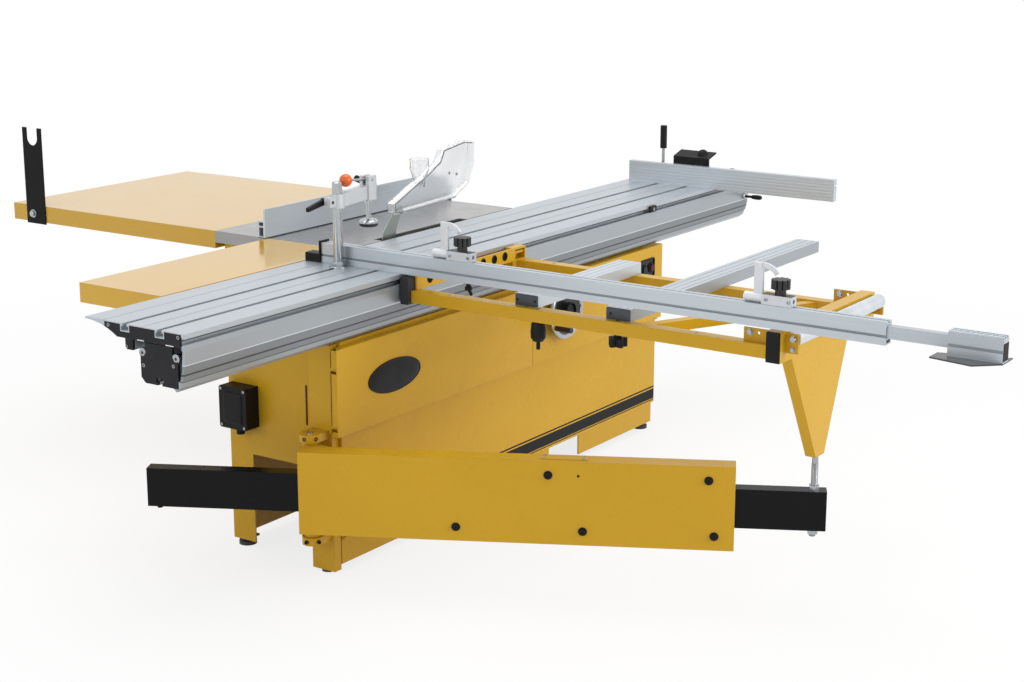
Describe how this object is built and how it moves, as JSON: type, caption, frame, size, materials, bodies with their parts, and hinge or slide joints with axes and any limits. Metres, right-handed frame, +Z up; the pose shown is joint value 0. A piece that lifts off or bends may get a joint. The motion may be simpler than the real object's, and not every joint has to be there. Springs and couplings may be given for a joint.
{
  "type": "sliding table saw",
  "caption": "Sliding table panel saw with an outrigger on a swing arm, crosscut and rip fences, hold-down clamp, blade guard and side tables on a folded sheet cabinet.",
  "frame": {"origin": "on the floor under the middle of the whole machine's footprint", "axes": "+X to the operator's right across the blade, +Y in the feed direction along the sliding table, +Z up"},
  "size_m": [3.821, 3.2, 1.169],
  "materials": {
    "yellow_paint": "satin stove enamel",
    "aluminium": "clear anodised extrusion",
    "cast_iron": "ground flat",
    "steel": "bright turned",
    "dark_steel": "dark enamel",
    "black_plastic": "moulded black",
    "grey_plastic": "moulded dark grey",
    "clear_plastic": "clear guard",
    "orange_plastic": "polished ball",
    "green_plastic": "button",
    "red_plastic": "button",
    "belt_rubber": "moulded"
  },
  "bodies": {
    "cabinet": {"base_frame": "yellow_paint", "saw_cabinet": "yellow_paint", "corner_post": "yellow_paint", "hinge_pin": "steel", "levelling_feet": "dark_steel", "junction_box": "black_plastic", "main_table": "cast_iron", "extension_table": "yellow_paint", "table_supports": "yellow_paint", "outfeed_table": "yellow_paint", "hose_fork": "dark_steel", "guide_rail": "steel", "base_beam": "aluminium", "base_end_caps": "black_plastic", "guide_rods": "steel"},
    "door": {"side_door": "yellow_paint"},
    "start": {"start_button": "green_plastic"},
    "stop": {"stop_button": "red_plastic"},
    "lift_wheel": {"lift_handwheel": "steel"},
    "tilt_wheel": {"tilt_handwheel": "steel"},
    "roller_carriage": {"roller_carriage": "dark_steel"},
    "carriage_table": {"sliding_table": "aluminium", "table_end_caps": "grey_plastic", "end_fence": "aluminium", "push_grip": "black_plastic", "hold_down_post": "steel", "outrigger_frame": "yellow_paint", "side_rail": "yellow_paint", "outer_tube": "yellow_paint", "outrigger_leg": "yellow_paint", "short_bar": "aluminium"},
    "end_lever": {"end_fence_lever": "black_plastic"},
    "clamp_arm": {"hold_down_arm": "aluminium"},
    "clamp_handle": {"hold_down_handle": "black_plastic"},
    "clamp_lever": {"hold_down_lever": "orange_plastic"},
    "clamp_spindle": {"hold_down_spindle": "steel"},
    "sliding_bar": {"long_bar": "aluminium"},
    "star_knob": {"bar_knob": "black_plastic"},
    "grip": {"grip_nut": "black_plastic"},
    "roller": {"loading_roller": "steel"},
    "fence": {"crosscut_fence": "aluminium", "fence_end_block": "black_plastic"},
    "extension": {"fence_extension": "aluminium"},
    "stop_near": {"inner_stop": "aluminium"},
    "stop_far": {"outer_stop": "aluminium"},
    "flag_near": {"inner_stop_flag": "aluminium"},
    "flag_far": {"outer_stop_flag": "aluminium"},
    "arm": {"swing_arm": "yellow_paint", "arm_rollers": "black_plastic"},
    "beam": {"telescopic_beam": "dark_steel"},
    "rod": {"support_rod": "steel"},
    "saw_unit": {"tilt_frame": "dark_steel"},
    "lift": {"lift_block": "dark_steel", "drive_motor": "dark_steel", "drive_belt": "belt_rubber", "riving_knife": "steel"},
    "blade": {"saw_blade": "steel"},
    "guard": {"blade_guard": "clear_plastic"},
    "rip": {"rip_fence": "aluminium"},
    "rip_lever": {"rip_fence_lever": "black_plastic"}
  },
  "joints": [
    {"name": "table_slide", "type": "slide", "parent": "cabinet", "child": "carriage_table", "axis": [0, 1, 0], "range_m": [-1.45, 0.75]},
    {"name": "carriage_roll", "type": "slide", "parent": "cabinet", "child": "roller_carriage", "axis": [0, 1, 0], "range_m": [-0.725, 0.375]},
    {"name": "arm_swing", "type": "hinge", "parent": "cabinet", "child": "arm", "pos_m": [0.0505, 1.004, 0.3], "axis": [0, 0, 1], "range_deg": [-15.5, 30]},
    {"name": "beam_slide", "type": "slide", "parent": "arm", "child": "beam", "axis": [-0.8829, -0.4695, 0], "range_m": [-0.1875, 0.3625]},
    {"name": "rod_turn", "type": "hinge", "parent": "beam", "child": "rod", "pos_m": [-1.28576, 0.37957, 0.4], "axis": [0, 0, 1], "continuous": true},
    {"name": "fence_swing", "type": "hinge", "parent": "carriage_table", "child": "fence", "pos_m": [0.2445, 0.655, 0.885], "axis": [0, 0, 1], "range_deg": [0, 45]},
    {"name": "extension_slide", "type": "slide", "parent": "fence", "child": "extension", "axis": [-1, 0, 0], "range_m": [-0.12, 0.6]},
    {"name": "inner_stop_slide", "type": "slide", "parent": "fence", "child": "stop_near", "axis": [-1, 0, 0], "range_m": [-0.1, 0.3]},
    {"name": "outer_stop_slide", "type": "slide", "parent": "fence", "child": "stop_far", "axis": [-1, 0, 0], "range_m": [-0.3, 0.2]},
    {"name": "inner_flag_flip", "type": "hinge", "parent": "stop_near", "child": "flag_near", "pos_m": [-0.2415, 0.655, 0.9616], "axis": [-1, 0, 0], "range_deg": [0, 90]},
    {"name": "outer_flag_flip", "type": "hinge", "parent": "stop_far", "child": "flag_far", "pos_m": [-1.2775, 0.655, 0.9616], "axis": [-1, 0, 0], "range_deg": [0, 90]},
    {"name": "clamp_swivel", "type": "hinge", "parent": "carriage_table", "child": "clamp_arm", "pos_m": [0.1795, 0.7, 1.092], "axis": [0, 0, 1], "range_deg": [-110, 0]},
    {"name": "clamp_handle_turn", "type": "hinge", "parent": "clamp_arm", "child": "clamp_handle", "pos_m": [0.1795, 0.735, 1.091], "axis": [1, 0, 0], "range_deg": [-60, 60]},
    {"name": "clamp_lever_lift", "type": "hinge", "parent": "clamp_arm", "child": "clamp_lever", "pos_m": [0.1795, 0.55, 1.137], "axis": [1, 0, 0], "range_deg": [0, 60]},
    {"name": "clamp_press", "type": "slide", "parent": "clamp_arm", "child": "clamp_spindle", "axis": [0, 0, -1], "range_m": [0, 0.0201]},
    {"name": "end_lever_turn", "type": "hinge", "parent": "carriage_table", "child": "end_lever", "pos_m": [0.1795, -1.294, 0.945], "axis": [0, 0, 1], "continuous": true},
    {"name": "roller_spin", "type": "hinge", "parent": "carriage_table", "child": "roller", "pos_m": [-1.3285, 0.3, 0.857], "axis": [0, 1, 0], "continuous": true},
    {"name": "bar_slide", "type": "slide", "parent": "carriage_table", "child": "sliding_bar", "axis": [0, 1, 0], "range_m": [0, 0.35]},
    {"name": "star_knob_turn", "type": "hinge", "parent": "carriage_table", "child": "star_knob", "pos_m": [-0.7905, 0.65, 0.8], "axis": [0, 0, 1], "continuous": true},
    {"name": "grip_turn", "type": "hinge", "parent": "carriage_table", "child": "grip", "pos_m": [-0.5225, 0.65, 0.8], "axis": [0, 0, 1], "continuous": true},
    {"name": "door_swing", "type": "hinge", "parent": "cabinet", "child": "door", "pos_m": [-0.0175, 0.952, 0.5], "axis": [0, 0, -1], "range_deg": [0, 95]},
    {"name": "start_press", "type": "slide", "parent": "cabinet", "child": "start", "axis": [1, 0, 0], "range_m": [0, 0.004], "stiffness_N_per_m": 400},
    {"name": "stop_press", "type": "slide", "parent": "cabinet", "child": "stop", "axis": [1, 0, 0], "range_m": [0, 0.004], "stiffness_N_per_m": 400},
    {"name": "blade_tilt", "type": "hinge", "parent": "cabinet", "child": "saw_unit", "pos_m": [0.3545, 0, 0.885], "axis": [0, 1, 0], "range_deg": [0, 45]},
    {"name": "blade_lift", "type": "slide", "parent": "saw_unit", "child": "lift", "axis": [0, 0, 1], "range_m": [0, 0.1]},
    {"name": "blade_spin", "type": "hinge", "parent": "lift", "child": "blade", "pos_m": [0.3545, 0, 0.7215], "axis": [1, 0, 0], "continuous": true},
    {"name": "guard_lift", "type": "hinge", "parent": "lift", "child": "guard", "pos_m": [0.3545, 0.176, 0.965], "axis": [-1, 0, 0], "range_deg": [0, 30]},
    {"name": "lift_wheel_turn", "type": "hinge", "parent": "cabinet", "child": "lift_wheel", "pos_m": [-0.0625, -0.22, 0.605], "axis": [1, 0, 0], "range_deg": [-1, 721]},
    {"name": "tilt_wheel_turn", "type": "hinge", "parent": "cabinet", "child": "tilt_wheel", "pos_m": [0.6845, -0.474, 0.6], "axis": [0, 1, 0], "range_deg": [-1, 721]},
    {"name": "rip_slide", "type": "slide", "parent": "cabinet", "child": "rip", "axis": [1, 0, 0], "range_m": [-0.16, 0.85]},
    {"name": "rip_lever_lift", "type": "hinge", "parent": "rip", "child": "rip_lever", "pos_m": [0.7275, -0.15, 0.9713], "axis": [1, 0, 0], "range_deg": [0, 55]}
  ],
  "couplings": [
    {"joint": "carriage_roll", "follows": "table_slide", "ratio": 0.5},
    {"joint": "arm_swing", "follows": "table_slide", "rad_per_m": -0.36},
    {"joint": "beam_slide", "follows": "table_slide", "ratio": -0.25},
    {"joint": "clamp_press", "follows": "clamp_lever_lift", "m_per_rad": 0.0191},
    {"joint": "lift_wheel_turn", "follows": "blade_lift", "rad_per_m": 125.66},
    {"joint": "tilt_wheel_turn", "follows": "blade_tilt", "ratio": 16}
  ]
}
